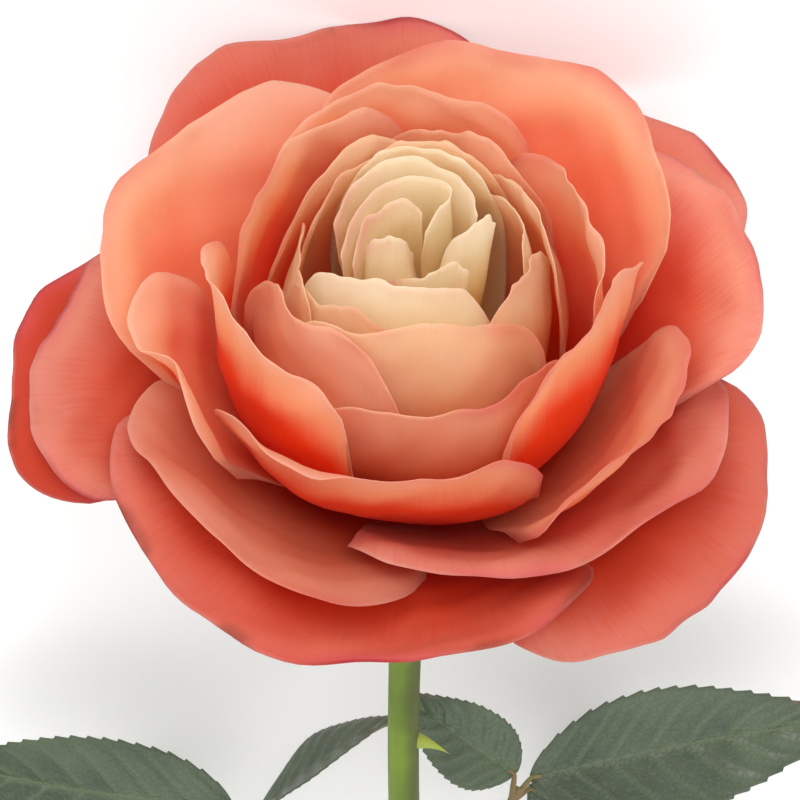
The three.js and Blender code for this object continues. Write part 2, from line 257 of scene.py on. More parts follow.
def petal_finish(name, limb, throat, foot, reach, clear):
    """Velvet of a petal: pale limb, deep throat and foot, pink rim, fine fanned veins. The deepening from limb
    to throat and foot is partly the petal's own colour and partly painted shade in the depths of the bloom.

    reach is how deep below the rim the throat starts and ends and the foot is reached, in millimetres, and
    clear is the share of light that passes through the petal.
    """
    s = Shader(name)
    rim = s.value("rim")
    level = s.value("level")
    outside = s.value("outside")
    coral_tone_and_shade = s.value("coral_tone_and_shade")
    place = s.place()
    flat = s.uv()
    cloud = s.noise(place, 70.0, 3.0)
    grain = s.noise(place, 900.0, 2.0)
    fan = s.noise(s.scaled(flat, (34.0, 1.6, 1.0)), 4.0, 4.0)
    # Painted shade: on the outer faces of the outer petals the depth runs faster, so the deep colour comes
    # nearer the rim.
    sooner_outer_shade = outside * level.ramp_between(0.62, 0.8) * 1.5 + 1.0
    depth = s.value("depth") * sooner_outer_shade + (cloud - 0.5) * 9.0 + (fan - 0.5) * 5.0
    first, second, last = reach
    # Limb to throat to foot by depth: partly the petal's own colour, partly painted shade deep in the bloom.
    throat_and_depth_shade = depth.ramp_between(first, second)
    foot_and_depth_shade = depth.ramp_between(second - 4.0, last)
    skin = s.mix(throat_and_depth_shade, limb, throat)
    skin = s.mix(foot_and_depth_shade, skin, foot)
    pale = outside * (1.0 - depth.ramp_between(0.0, 14.0)) * 0.3
    skin = s.mix(pale, skin, BLUSH)
    patch = s.noise(place, 26.0, 2.0).ramp_between(0.46, 0.62)
    skin = s.mix(patch * (1.0 - depth.ramp_between(4.0, 22.0)) * 0.3, skin, AMBER)
    skin = s.mix(fan.ramp_between(0.5, 0.75) * 0.12, skin, throat)
    blotch = s.noise(place, 110.0, 3.0).ramp_between(0.52, 0.64) * (1.0 - depth.ramp_between(0.0, 12.0))
    skin = s.mix(blotch * 0.3, skin, RUSSET)
    # Deep coral: partly the guard petals' own colour, partly painted shade on petals lying in shadow.
    skin = s.mix(coral_tone_and_shade, skin, DEEP_CORAL_AND_SHADE)
    pink = (1.0 - (rim + (cloud - 0.5) * 5.0).ramp_between(-1.0, 3.6)) * (0.1 + 0.8 * patch)
    skin = s.mix(pink, skin, ROSE_PINK)
    light = (1.0 - rim.ramp_between(0.1, 0.7)) * (1.0 - patch) * 0.22
    skin = s.mix(light, skin, PALE_EDGE)
    guard = level.ramp_between(0.9, 1.05)
    dark = (1.0 - (rim + (cloud - 0.5) * 1.4).ramp_between(0.0, 0.9)) * guard * (0.2 + 0.6 * patch)
    skin = s.mix(dark, skin, CRIMSON_EDGE)
    bruise = (1.0 - rim.ramp_between(0.2, 2.4)) * guard * cloud.ramp_between(0.54, 0.66)
    skin = s.mix(bruise * 0.6, skin, BRUISE)
    height = fan * 0.18 + grain * 0.06 + cloud * 0.9
    normal = s.bump(height, 0.0008, 0.5)
    body = s.node("ShaderNodeBsdfPrincipled", {}, {
        "Base Color": skin, "Roughness": 0.52 + 0.12 * grain, "Normal": normal,
        "Specular IOR Level": 0.22, "Sheen Weight": 0.08, "Sheen Roughness": 0.4, "Sheen Tint": (1.0, 0.7, 0.6),
    })
    glow = s.glow(limb, normal)
    for share, colour in ((throat_and_depth_shade, throat), (foot_and_depth_shade, foot), (coral_tone_and_shade, DEEP_CORAL_AND_SHADE)):
        glow = s.node("ShaderNodeMixShader", {}, [share, glow, s.glow(colour, normal)])
    return s.finish(s.node("ShaderNodeMixShader", {}, [clear, body, glow]))


def leaf_finish(name, dark, light, under, vein):
    """Blade of a leaflet: veins from its own flat map, semi-gloss above, matt and paler below."""
    s = Shader(name)
    ribs = s.value("ribs")
    outside = s.value("outside")
    rim = s.value("rim")
    place = s.place()
    cloud = s.noise(place, 55.0, 4.0)
    cells = s.node("ShaderNodeTexVoronoi", {"feature": "DISTANCE_TO_EDGE"}, {"Vector": place, "Scale": 900.0})
    net = 1.0 - cells.ramp_between(0.0, 0.16)
    skin = s.mix(cloud.ramp_between(0.3, 0.7), dark, light)
    skin = s.mix(ribs * 0.75, skin, vein)
    skin = s.mix(net * 0.16, skin, vein)
    skin = s.mix((1.0 - rim.ramp_between(0.1, 0.9)) * 0.5, skin, LEAF_EDGE)
    skin = s.mix(outside * 0.8, skin, under)
    normal = s.bump(ribs * -0.6 + net * -0.25 + cloud * 0.4, 0.0005, 0.6)
    body = s.node("ShaderNodeBsdfPrincipled", {}, {
        "Base Color": skin, "Roughness": 0.3 + 0.16 * cloud + 0.2 * outside, "Normal": normal,
        "Specular IOR Level": 0.5, "Coat Weight": 0.3, "Coat Roughness": 0.28,
    })
    return s.finish(s.node("ShaderNodeMixShader", {}, [0.12, body, s.glow(light, normal)]))


def green_finish(name, light, dark, blush_and_side_shade, side, speck, rough):
    """Waxy skin of the stem, stalks, hip and sepals: streaked along, blushed on one side, specked. On the stem
    that one-side colour is a darker green, painted shade of its shaded side.
    """
    s = Shader(name)
    place = s.place()
    streak = s.noise(s.scaled(place, (1.0, 0.06, 1.0)), 900.0, 3.0)
    cloud = s.noise(place, 60.0, 4.0)
    spots = s.node("ShaderNodeTexVoronoi", {}, {"Vector": s.scaled(place, (1.0, 0.5, 1.0)), "Scale": 420.0})
    facing = s.node("ShaderNodeVectorMath", {"operation": "DOT_PRODUCT"}, {
        0: s.node("ShaderNodeNewGeometry", out="Normal"), 1: side}, out="Value")
    skin = s.mix(cloud.ramp_between(0.3, 0.7), light, dark)
    skin = s.mix(streak.ramp_between(0.45, 0.7) * 0.35, skin, light)
    # Colour on the side facing the given direction: a blush on stalks, calyx and prickles, painted shade on the
    # stem.
    skin = s.mix((facing + (cloud - 0.5) * 0.9).ramp_between(-0.2, 0.85) * 0.8, skin, blush_and_side_shade)
    skin = s.mix((1.0 - spots.ramp_between(0.05, 0.14)) * cloud.ramp_between(0.4, 0.6) * 0.8, skin, speck)
    normal = s.bump(streak * 0.6 + cloud * 0.4, 0.0004, 0.5)
    return s.finish(s.node("ShaderNodeBsdfPrincipled", {}, {
        "Base Color": skin, "Roughness": rough + 0.15 * cloud, "Normal": normal,
        "Specular IOR Level": 0.35, "Subsurface Weight": 0.05, "Subsurface Radius": (0.5, 0.7, 0.2),
        "Subsurface Scale": 0.001,
    }))


# ---------------------------------------------------------------- sheets and rods

def piece_from(name, points, faces, attributes, material, flat=None):
    """A smooth mesh object from points in metres, with attributes by point and a flat map."""
    mesh = bpy.data.meshes.new(name)
    mesh.from_pydata([tuple(p) for p in points], [], faces)
    for key, values in attributes.items():
        layer = mesh.attributes.new(key, "FLOAT", "POINT")
        layer.data.foreach_set("value", np.asarray(values, np.float32).ravel())
    if flat is not None:
        layer = mesh.uv_layers.new(name="flat")
        corners = np.empty(len(mesh.loops), np.int32)
        mesh.loops.foreach_get("vertex_index", corners)
        layer.data.foreach_set("uv", np.asarray(flat, np.float32)[corners].ravel())
    mesh.polygons.foreach_set("use_smooth", np.ones(len(mesh.polygons), bool))
    mesh.materials.append(material)
    mesh.update()
    piece = bpy.data.objects.new(name, mesh)
    bpy.context.collection.objects.link(piece)
    return piece


def shell(name, middle, thickness, material, to_world, attributes):
    """A closed skin about a sheet of points [rows, columns, 3], its edge rounded by one ring of points."""
    rows, columns = middle.shape[:2]
    du = np.gradient(middle, axis=1)
    dv = np.gradient(middle, axis=0)
    normal = np.cross(du, dv)
    normal /= np.linalg.norm(normal, axis=-1, keepdims=True) + 1e-12
    top = middle + normal * (thickness / 2)[..., None]
    low = middle - normal * (thickness / 2)[..., None]
    number = np.arange(rows * columns).reshape(rows, columns)
    border = [*number[0, :-1], *number[:-1, -1], *number[-1, :0:-1], *number[:0:-1, 0]]
    brink = middle.reshape(-1, 3)[border]
    push = np.concatenate([-dv[0, :-1], du[:-1, -1], dv[-1, :0:-1], -du[:0:-1, 0]])
    push /= np.linalg.norm(push, axis=-1, keepdims=True) + 1e-12
    edge = brink + push * (thickness.ravel()[border] * 0.35)[:, None]
    points = np.concatenate([top.reshape(-1, 3), low.reshape(-1, 3), edge])
    side = rows * columns
    a, b, c, d = number[:-1, :-1], number[:-1, 1:], number[1:, 1:], number[1:, :-1]
    upper = np.stack([a, b, c, d], -1).reshape(-1, 4)
    lower = np.stack([a, d, c, b], -1).reshape(-1, 4) + side
    faces = [tuple(f) for f in upper.tolist()] + [tuple(f) for f in lower.tolist()]
    count = len(border)
    for k in range(count):
        n = (k + 1) % count
        faces.append((border[k], 2 * side + k, 2 * side + n, border[n]))
        faces.append((2 * side + k, border[k] + side, border[n] + side, 2 * side + n))
    layers = {}
    for key, values in attributes.items():
        values = np.broadcast_to(values, (rows, columns)).reshape(-1)
        layers[key] = np.concatenate([values, values, values[border]])
    layers["outside"] = np.concatenate([np.ones(side), np.zeros(side), np.full(count, 0.5)])
    u, v = np.meshgrid(np.linspace(0, 1, columns), np.linspace(0, 1, rows))
    flat = np.stack([u, v], -1).reshape(-1, 2)
    flat = np.concatenate([flat, flat, flat[border]])
    return piece_from(name, to_world(points), faces, layers, material, flat)


def waves(seed, *phases):
    """Three slow sine waves of fixed random phase along the given coordinates."""
    chance = np.random.default_rng(seed)
    total = 0
    for stretch in (1.0, 1.9, 3.1):
        turn = sum(phase * stretch * chance.uniform(0.7, 1.3) for phase in phases)
        total = total + np.sin(turn + chance.uniform(0, 6.28)) / stretch
    return total / 1.6


# ---------------------------------------------------------------- petals

LEVELS = [-0.2, 0, 0.27, 0.56, 0.79, 0.94, 1.1, 1.25]
FOOT_ANGLE = [84, 80, 40, 30, 27, 23, 17, 12]
BELLY_ANGLE = [92, 90, 70, 61, 45, 30, 17, 8]
TIP_ANGLE = [90, 92, 106, 108, 88, 40, -15, -40]
BACK_LIFT = [0, 0, 0, 3, 10, 20, 27, 30]
PROFILE_STEPS = 40
FOOT_RUN = 16
TIP_RUN = 30
ROLL_RUN = 9

# Azimuth, half width, level and length of each petal from the outside in, as in the CAD, with the finish of
# this surface: curl is how far the rim rolls out, ruffle how much it waves, and the last how much deep coral it
# carries, partly the petal's own colour and partly painted shade, most on the third petal, which lies in
# shadow.
PETALS = [
    dict(at=106, half=36, level=1.04, long=63, curl=10, ruffle=1.0, coral_tone_and_shade=0.55),
    dict(at=54, half=26, level=1.10, long=61.15, curl=10, ruffle=1.0, coral_tone_and_shade=0.4),
    dict(at=165, half=32, level=1.15, long=54, curl=20, ruffle=1.2, coral_tone_and_shade=0.95),
    dict(at=327, half=40, level=1.12, long=45.5, skew=0.09, curl=25, ruffle=1.4, coral_tone_and_shade=0.6),
    dict(at=247, half=64, level=1.03, long=44.5, skew=-0.01, curl=25, ruffle=1.4, coral_tone_and_shade=0.7),
    dict(at=167, half=34, level=1.09, long=51, curl=30, ruffle=1.2, coral_tone_and_shade=0.3),
    dict(at=26, half=35, level=0.975, long=54.5, curl=30, ruffle=1.0),
    dict(at=226, half=46, level=0.95, long=43.5, curl=30, ruffle=0.9, coral_tone_and_shade=0.35),
    dict(at=313, half=62, level=0.96, long=42, lean=0.09, skew=0.08, curl=50, ruffle=0.9, coral_tone_and_shade=0.35),
    dict(at=64, half=54, level=0.87, long=61, curl=25, ruffle=1.0),
    dict(at=143, half=45, level=0.93, long=56, curl=25, ruffle=1.0),
    dict(at=192, half=28, level=0.86, long=50, curl=45, ruffle=0.9),
    dict(at=256, half=48, level=0.82, long=47.5, curl=45, ruffle=0.8, coral_tone_and_shade=0.2),
    dict(at=95, half=48, level=0.785, long=60, curl=20, ruffle=0.8),
    dict(at=332, half=36, level=0.885, long=46, curl=30, ruffle=0.8, coral_tone_and_shade=0.15),
    dict(at=208, half=44, level=0.77, long=55, curl=35, ruffle=0.8),
    dict(at=18, half=44, level=0.715, long=54, curl=30, ruffle=0.8),
    dict(at=135, half=48, level=0.71, long=58, curl=20, ruffle=0.7),
    dict(at=287, half=64, level=0.655, long=43.5, curl=40, ruffle=0.7),
    dict(at=68, half=40, level=0.63, long=56, curl=15, ruffle=0.6),
    dict(at=332, half=38, level=0.775, lean=0.045, long=54, curl=30, ruffle=0.6),
    dict(at=128, half=48, level=0.58, long=55, curl=15, ruffle=0.6),
    dict(at=224, half=42, level=0.605, long=50, curl=30, ruffle=0.6),
    dict(at=25, half=40, level=0.57, long=52, curl=15, ruffle=0.5),
    dict(at=82, half=43, level=0.48, long=55, curl=10, ruffle=0.4),
    dict(at=268, half=60, level=0.54, long=50, curl=30, ruffle=0.5),
    dict(at=189, half=42, level=0.455, long=49, curl=15, ruffle=0.4),
    dict(at=232, half=44, level=0.39, long=47, curl=20, ruffle=0.4),
    dict(at=330, half=44, level=0.44, long=48, curl=20, ruffle=0.4),
    dict(at=140, half=44, level=0.365, long=51, curl=10, ruffle=0.3),
    dict(at=15, half=44, level=0.34, long=49, curl=10, ruffle=0.3),
    dict(at=88, half=52, level=0.27, long=52, curl=8, ruffle=0.3),
    dict(at=255, half=62, level=0.29, long=50, curl=15, ruffle=0.3),
]


def bloom_points(level, azimuth, along, rim, curl):
    """Points of the bloom at a level, azimuth and arc length, the last millimetres rolled outwards."""
    back = np.interp(level, LEVELS, BACK_LIFT) * (1 + np.sin(azimuth)) / 2
    foot = np.interp(level, LEVELS, FOOT_ANGLE) + 0.3 * back
    belly = np.interp(level, LEVELS, BELLY_ANGLE) + back
    tip = np.interp(level, LEVELS, TIP_ANGLE) + back
    step = along / PROFILE_STEPS
    r = 1.2 + 6.6 * np.maximum(level, 0) ** 0.8 + 0 * along
    z = 6 * (1.1 - level) + 0 * along
    for i in range(PROFILE_STEPS):
        q = step * (i + 0.5)
        rolled = curl * np.clip((q - rim + ROLL_RUN) / ROLL_RUN, 0, 1) ** 2
        turned = (belly - foot) * smooth(q / FOOT_RUN) + (tip - belly) * smooth((q - FOOT_RUN) / TIP_RUN)
        a = np.radians(foot + turned - rolled)
        r = r + np.cos(a) * step
        z = z + np.sin(a) * step
    return np.stack([r * np.cos(azimuth), r * np.sin(azimuth), z], -1)


def stir(points):
    """A slow swell of the whole bloom, the same for every petal, so neighbours keep their distance."""
    x, y, z = points[..., 0], points[..., 1], points[..., 2]
    fade = smooth((z + 4) / 14)
    dx = np.sin(y / 5.1 + 0.7) + 0.6 * np.sin(z / 3.7 + x / 9.0)
    dy = np.sin(x / 4.7 + 2.1) + 0.6 * np.sin(z / 4.3 - y / 8.0 + 1.0)
    dz = np.sin(x / 5.9 + y / 6.7)
    return points + np.stack([dx, dy, 0.8 * dz], -1) * (0.35 * fade)[..., None]


def edge_distance(middle):
    """Distance along the sheet to its rim, over rows and to the sides, in millimetres."""
    step_v = np.linalg.norm(np.diff(middle, axis=0), axis=-1)
    step_u = np.linalg.norm(np.diff(middle, axis=1), axis=-1)
    zero_v = np.zeros((1, middle.shape[1]))
    zero_u = np.zeros((middle.shape[0], 1))
    to_rim = np.concatenate([np.cumsum(step_v[::-1], axis=0)[::-1], zero_v])
    left = np.concatenate([zero_u, np.cumsum(step_u, axis=1)], axis=1)
    right = np.concatenate([np.cumsum(step_u[:, ::-1], axis=1)[:, ::-1], zero_u], axis=1)
    upper = smooth(np.linspace(0, 1, middle.shape[0]) * 1.6 - 0.4)[:, None]
    sides = np.minimum(left, right) + (1 - upper) * 20
    return np.minimum(to_rim, sides)


def depth_of(middle):
    """Distance down the sheet from its rim, a little less towards the sides, in millimetres."""
    step = np.linalg.norm(np.diff(middle, axis=0), axis=-1)
    down = np.concatenate([np.cumsum(step[::-1], axis=0)[::-1], np.zeros((1, middle.shape[1]))])
    u = np.linspace(-1, 1, middle.shape[1])
    return down * (1 - 0.25 * u**2) + 3 * u**2


def petal_sheet(petal, seed, columns, rows):
    """The middle of one petal, with its ragged rim, flutter, rolled tip and dents."""
    u = np.linspace(-1, 1, columns)[None, :]
    v = np.linspace(0, 1, rows)[:, None]
    level = petal["level"]
    corner = 1 - 0.4 * (1 - np.cbrt(1 - 0.999 * np.abs(u) ** 2.6))
    chance = np.random.default_rng(seed)
    peaks = np.abs(np.sin(chance.uniform(2.6, 4.2) * u + chance.uniform(0, 3)))
    ragged = 1.012 + 0.012 * waves(seed, 2.6 * u) + 0.003 * waves(seed + 1, 16 * u) - 0.024 * peaks
    notch = 1 - chance.uniform(-0.02, 0.03) * np.exp(-(((u - chance.uniform(-0.4, 0.4)) / 0.12) ** 2))
    rim = petal["long"] * corner * (1 + petal.get("skew", 0) * u) * notch * ragged
    width = 0.3 + 0.7 * np.sin(HALF_TURN / 2 * np.minimum(1.35 * v, 1)) ** 1.2
    azimuth = np.radians(petal["at"] + petal["half"] * width * u)
    wave = waves(seed + 2, 2.6 * u) * 0.010 + waves(seed + 3, 5.5 * u) * 0.004
    flutter = petal["ruffle"] * wave * smooth((v - 0.5) / 0.5)
    lifted = level + petal.get("lean", 0) * u + flutter
    curl = petal["curl"] * (0.8 + 0.7 * waves(seed + 4, 3.0 * u))
    points = bloom_points(lifted, azimuth, v * rim, rim, curl)
    sheet = crumple(stir(points), seed, petal["half"] * u * width * 0.4, v * rim, petal["ruffle"])
    return kept_off_table(sheet, bloom_to_world, TABLE_UP)


LOW_BAND = 0.7
LOW_EASE = 0.8
LOW_SLACK = 0.6


def kept_off_table(sheet, to_world, up):
    """A sheet whose lowest part lies along the table instead of sinking into it."""
    height = to_world(sheet)[..., 2] / MM - LOW_BAND
    lift = 0.5 * (np.hypot(height, LOW_EASE) - height) - LOW_SLACK
    return sheet + np.maximum(lift, 0)[..., None] * np.array(up)


def crumple(middle, seed, across, along, amount):
    """Small dents and swellings of a sheet, stronger towards its rim."""
    chance = np.random.default_rng(seed + 9)
    u = np.linspace(-1, 1, middle.shape[1])[None, :]
    normal = np.cross(np.gradient(middle, axis=1), np.gradient(middle, axis=0))
    normal /= np.linalg.norm(normal, axis=-1, keepdims=True) + 1e-12
    dents = 0
    for length in (21, 15, 11, 8, 6, 4.5):
        heading = chance.uniform(-1.2, 1.2)
        turn = (across * math.cos(heading) + along * math.sin(heading)) * 2 * HALF_TURN / length
        dents = dents + np.sin(turn + chance.uniform(0, 6.28)) * (length / 21)
    share = 0.12 + 0.42 * smooth((along / along.max() - 0.4) / 0.6)
    frill = waves(seed + 12, 11 * u) * 0.4 * smooth((along / along.max() - 0.86) / 0.14)
    return middle + normal * (amount * (dents * share * 0.95 + frill))[..., None]


# Limb, throat and foot colours of each finish, the depths at which they follow one another, and its clearness;
# the throat and foot colours are partly the petal's own colour and partly painted shade of the bloom's depths.
FINISHES = {
    "velvet_coral": ((0.87, 0.46, 0.35), (0.80, 0.13, 0.06), (0.66, 0.018, 0.005), (-3.0, 14.0, 30.0), 0.4),
    "velvet_peach": ((0.93, 0.63, 0.46), (0.97, 0.49, 0.26), (0.96, 0.09, 0.014), (-1.0, 17.0, 33.0), 0.6),
    "velvet_apricot": ((0.96, 0.79, 0.60), (0.98, 0.67, 0.41), (0.98, 0.28, 0.05), (0.0, 14.0, 28.0), 0.7),
    "velvet_cream": ((0.99, 0.94, 0.78), (0.99, 0.88, 0.60), (0.99, 0.66, 0.25), (1.0, 13.0, 26.0), 0.7),
}
petal_finishes = [petal_finish(name, *colours) for name, colours in FINISHES.items()]


def finish_for(level):
    """Coral for the guard petals, then peach and apricot, and cream for the innermost."""
    return petal_finishes[sum(level <= least for least in (0.955, 0.6, 0.33))]


def deeper_to_right(sheet):
    """One over most of a petal, falling towards the side that is paler."""
    across = np.linspace(-1, 1, sheet.shape[1])[None, :]
    return 0.25 + 0.75 * smooth((across + 1.05) / 0.8) + np.zeros(sheet.shape[:2])


GUARD_PETALS = 9
for k, petal in enumerate(PETALS):
    node = f"petal_{k + 1:02d}"
    sheet = petal_sheet(petal, 100 + 11 * k, 57, 49)
    rim = edge_distance(sheet)
    thickness = RIM_THICKNESS + (LIMB_THICKNESS - RIM_THICKNESS) * smooth(rim / 6)
    # Share of deep coral for each point: partly the petal's colour, partly painted shade.
    coral_tone_and_shade = petal.get("coral_tone_and_shade", 0) * deeper_to_right(sheet)
    layers = {"rim": rim, "depth": depth_of(sheet), "level": petal["level"], "coral_tone_and_shade": coral_tone_and_shade}
    piece = shell("limb_" + node, sheet, thickness, finish_for(petal["level"]), bloom_to_world, layers)
    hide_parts(node)
    "guard_petal" if k < GUARD_PETALS else "petal"
    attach(piece, "root")

HEART_APEX = -10
HEART_PLANE = 44
HEART_FOOT = 8
HEART_LEVEL = 0.15

# Each heart petal: the points its rim stands over at the level of the plane, the heights of its rim, and the
# point it hoods towards with its share of the way there. The fourth and fifth bulge more than in the CAD.
HEART_PETALS = [
    (
        [(-11.4, 1), (-9.2, 5.4), (-5.6, 8.4), (0.2, 10), (4.8, 8.6), (7.8, 6.6), (8.2, 3.2)],
        [49, 51, 52, 52, 51, 50, 48], (-1.5, 2), 0.1,
    ),
    (
        [(-10.8, -3.6), (-9, 0.5), (-6.2, 4.2), (-2, 6.6), (2.2, 7.6), (4.7, 6.9), (5.1, 5.2), (3.4, 2.4),
         (1.4, -0.6)],
        [47, 50, 51, 51.5, 51, 50.5, 50, 49.5, 48], (-2, 2), 0.12,
    ),
    (
        [(-9.4, -4.8), (-7.2, 0.2), (-4.4, 2.4), (-0.8, 3.6), (1.4, 2.8)],
        [46, 50, 51, 51, 49], (-4, -1), 0.2,
    ),
    (
        [(-8.8, -3.0), (-7.8, -5.4), (-4, -6.7), (0.3, -6.0), (2.0, -3.6)],
        [46, 49.5, 50.5, 49.5, 46], (-3, 0), 0.45,
    ),
    (
        [(2.6, -4.2), (4.6, -4.6), (7.5, -3.8), (10.0, -2.0), (11.0, 0.8)],
        [47, 50.5, 52, 52, 49], (6.5, 1), 0.3,
    ),
    (
        [(-5.6, -8), (-1.5, -8.6), (2.6, -7.4), (6, -6.2), (9.4, -6.8)],
        [44, 46, 47, 47.5, 46], (2, -3), 0.3,
    ),
]


def spline(points, w):
    """Catmull-Rom curve through points, at places w from 0 to 1."""
    p = np.asarray(points, float)
    p = np.concatenate([[2 * p[0] - p[1]], p, [2 * p[-1] - p[-2]]])
    x = np.clip(w, 0, 1) * (len(p) - 3)
    i = np.minimum(x.astype(int), len(p) - 4)
    t = (x - i)[..., None]
    a, b, c, d = p[i], p[i + 1], p[i + 2], p[i + 3]
    return 0.5 * (2 * b + (c - a) * t + (2 * a - 5 * b + 4 * c - d) * t**2 + (3 * b - a - 3 * c + d) * t**3)


def heart_sheet(plan, rim, middle, hood, seed, columns, rows):
    """A folded petal that rises from the foot of the bloom and hoods over its middle."""
    u = np.linspace(-1, 1, columns)[None, :]
    v = np.linspace(0, 1, rows)[:, None]
    w = 0.5 + 0.5 * u * (0.35 + 0.65 * smooth(1.4 * v))
    flat = spline(plan, w)
    top = spline([(h, 0) for h in rim], w)[..., 0] + 0.5 * waves(seed, 5 * u)
    z = HEART_FOOT + (top - HEART_FOOT) * v
    scale = (z - HEART_APEX) / (HEART_PLANE - HEART_APEX)
    hood = hood * smooth((v - 0.66) / 0.34)[..., None]
    flat = flat[..., :2] * (1 - hood) + np.array(middle) * hood
    points = stir(np.stack([flat[..., 0] * scale, flat[..., 1] * scale, z], -1))
    return crumple(points, seed, 8 * u + 0 * v, 36 * v + 0 * u, 0.5)


for k, heart in enumerate(HEART_PETALS):
    node = f"heart_petal_{k + 1}"
    sheet = heart_sheet(*heart, 700 + 7 * k, 49, 41)
    rim = edge_distance(sheet)
    thickness = RIM_THICKNESS + (LIMB_THICKNESS - RIM_THICKNESS) * smooth(rim / 6)
    layers = {"rim": rim, "depth": depth_of(sheet), "level": HEART_LEVEL, "coral_tone_and_shade": 0}
    piece = shell("limb_" + node, sheet, thickness, petal_finishes[3], bloom_to_world, layers)
    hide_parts(node)
    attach(piece, "root")


# ---------------------------------------------------------------- leaflets

LEAVES = {
    "leaf_right": (
        [(3.0, -112, 37.5), (8.5, -100, 30), (16.8, -85.4, 22.8)],
        [
            dict(base=(18.8, -84.1, 22), tip=(69, -76, 17), lift=(0, 0.35, 1), half=11.5, droop=-3),
            dict(base=(16, -82.6, 22.8), tip=(-2, -62.4, 27), lift=(0.3, 0.3, 1), half=6.5, droop=2),
            dict(base=(18.6, -86.8, 21.4), tip=(34.4, -111, 9), lift=(0.5, 0.5, 1), half=8.5, droop=2),
        ],
    ),
    "leaf_left": (
        [(-4.4, -136, 33.5), (-12, -118, 27), (-26.4, -95.4, 21.8)],
        [
            dict(base=(-29.0, -90.5, 21.6), tip=(-75.5, -88.5, 13), lift=(-0.1, 0.3, 1), half=11, droop=4),
            dict(base=(-25.2, -91.6, 22.6), tip=(-3, -65, 30), lift=(-0.8, 0.35, -0.25), half=7, droop=2),
            dict(base=(-28.6, -97.4, 21.0), tip=(-57, -135, 0.4), lift=(-0.5, 0.4, 1), half=9.5, droop=4),
        ],
    ),
    "leaf_low": (
        [(4.4, -205, 21.6), (22, -194, 15), (52, -182, 9)],
        [
            dict(base=(54.5, -181.4, 8.6), tip=(98, -168, 0.4), lift=(0.2, 0, 1), half=12, droop=3),
            dict(base=(50.4, -179.4, 9.6), tip=(58, -140, 6), lift=(0, 0.2, 1), half=10, droop=3),
            dict(base=(52.2, -184.4, 8.4), tip=(74, -218, 3), lift=(0, -0.2, 1), half=10, droop=3),
            dict(base=(22.4, -191.2, 15.4), tip=(25, -158, 12), lift=(0, 0.2, 1), half=8, droop=3),
            dict(base=(24, -196.4, 14.2), tip=(34, -228, 8), lift=(0, -0.2, 1), half=8, droop=3),
        ],
    ),
}
SIDE_VEINS = 8
TEETH = 18


def unit(vector):
    return np.asarray(vector, float) / np.linalg.norm(vector)


def leaflet_sheet(leaflet, seed, columns, rows):
    """A folded, quilted blade with saw teeth, and the strength of its veins by point."""
    base = np.array(leaflet["base"], float)
    along = np.array(leaflet["tip"], float) - base
    across = -unit(np.cross(unit(along), leaflet["lift"]))
    up = -unit(np.cross(across, along))
    u = np.linspace(-1, 1, columns)[None, :]
    v = np.linspace(0, 1, rows)[:, None]
    half = leaflet["half"]
    width = 0.35 + half * np.sin(HALF_TURN * v**0.8) ** 0.85 * (1 - 0.15 * v)
    saw = (v * TEETH) % 1.0
    at_edge = smooth((np.abs(u) - 0.84) / 0.16)
    tooth = 0.05 * half * (saw**1.3 - 0.45) * at_edge * smooth(v * 8) * smooth((1 - v) * 12)
    reach = u * (width + tooth)
    run = v * SIDE_VEINS - 1.5 * np.abs(u) ** 1.15
    gap = np.abs(run - np.round(run))
    side = np.exp(-((gap / 0.07) ** 2)) * smooth((1 - np.abs(u)) * 4) * smooth(v * 6)
    mid = np.exp(-((reach / 0.55) ** 2)) + 0 * v
    ribs = np.clip(side * 0.7 + mid, 0, 1)
    inside = smooth(np.abs(u) * 5) * smooth((1 - np.abs(u)) * 3) * smooth(v * 5)
    quilt = 0.42 * np.cos(2 * HALF_TURN * run) * inside
    sway = 0.5 * waves(seed, 5 * v, 2 * u) * np.abs(u)
    height = 0.2 * np.abs(u) * width + leaflet["droop"] * 0.6 * np.sin(HALF_TURN * v)
    height = height + 0.5 * quilt + sway - 0.3 * mid
    points = base + v[..., None] * along + reach[..., None] * across + height[..., None] * up
    return kept_off_table(points, on_table, (0, 0, 1)), ribs


leaf_green = leaf_finish(
    "leaf_green", (0.034, 0.060, 0.028), (0.085, 0.125, 0.064), (0.13, 0.18, 0.10), (0.12, 0.17, 0.08),
)
stalk_green = green_finish(
    "stalk_green", (0.26, 0.28, 0.09), (0.15, 0.17, 0.06), (0.22, 0.12, 0.06), (0.3, -0.4, 0.8),
    (0.12, 0.07, 0.03), 0.42,
)
# The third colour, a darker green on the side facing +X, is painted shade.
stem_green = green_finish(
    "stem_green", (0.17, 0.26, 0.012), (0.11, 0.18, 0.008), (0.055, 0.06, 0.006), (0.95, 0.1, 0.1),
    (0.09, 0.05, 0.02), 0.38,
)
calyx_green = green_finish(
    "calyx_green", (0.22, 0.29, 0.08), (0.12, 0.17, 0.05), (0.20, 0.14, 0.06), (0.2, 0.5, 0.8),
    (0.10, 0.07, 0.03), 0.5,
)

seed = 300
for leaf, (path, leaflets) in LEAVES.items():
    for k, leaflet in enumerate(leaflets):
        seed += 5
        node = f"{leaf}_leaflet_{k + 1}"
        sheet, ribs = leaflet_sheet(leaflet, seed, 33, 169)
        layers = {"rim": edge_distance(sheet), "ribs": ribs}
        thickness = 0.3 + 0.25 * np.clip(ribs, 0, 1)
        piece = shell("blade_" + node, sheet, thickness, leaf_green, on_table, layers)
        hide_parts(node)
        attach(piece, "root")


# ---------------------------------------------------------------- rods by Geometry Nodes

